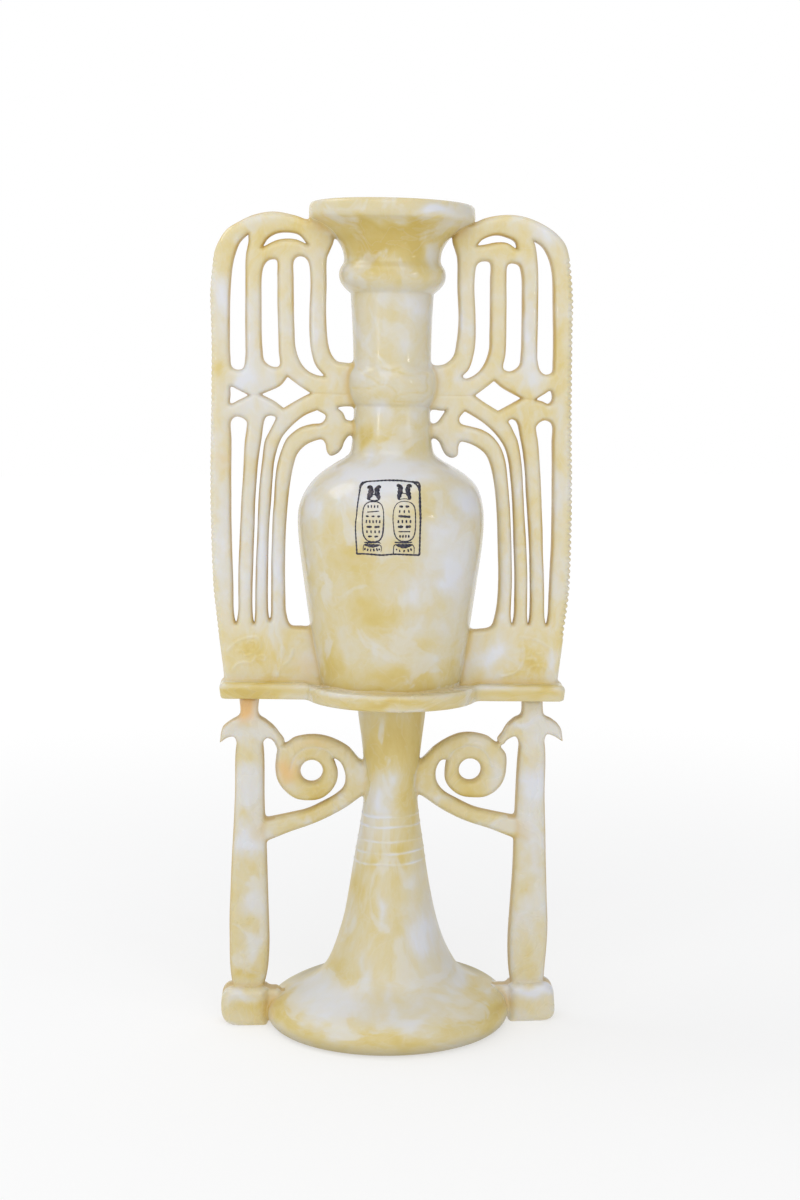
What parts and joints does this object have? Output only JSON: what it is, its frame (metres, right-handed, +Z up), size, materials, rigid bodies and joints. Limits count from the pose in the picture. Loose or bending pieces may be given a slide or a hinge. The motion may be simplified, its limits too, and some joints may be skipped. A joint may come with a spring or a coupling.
{
  "type": "perfume vessel",
  "caption": "Hollow vase between two openwork palm-rib wings on a board, carried by a trumpet stem, posts with scrolls and a round foot.",
  "frame": {"origin": "on the ground in the middle of the object's outline, under the middle of the vase", "axes": "+Z up; +X to the viewer's right when facing the front; +Y away from the viewer, so the front faces -Y"},
  "size_m": [0.2628, 0.1798, 0.6029],
  "materials": {
    "vessel": "polished cream and honey marbling, cast marble",
    "stand": "polished cream and honey marbling, cast marble"
  },
  "bodies": {
    "root": {"vessel": "vessel", "stand": "stand"}
  },
  "joints": []
}
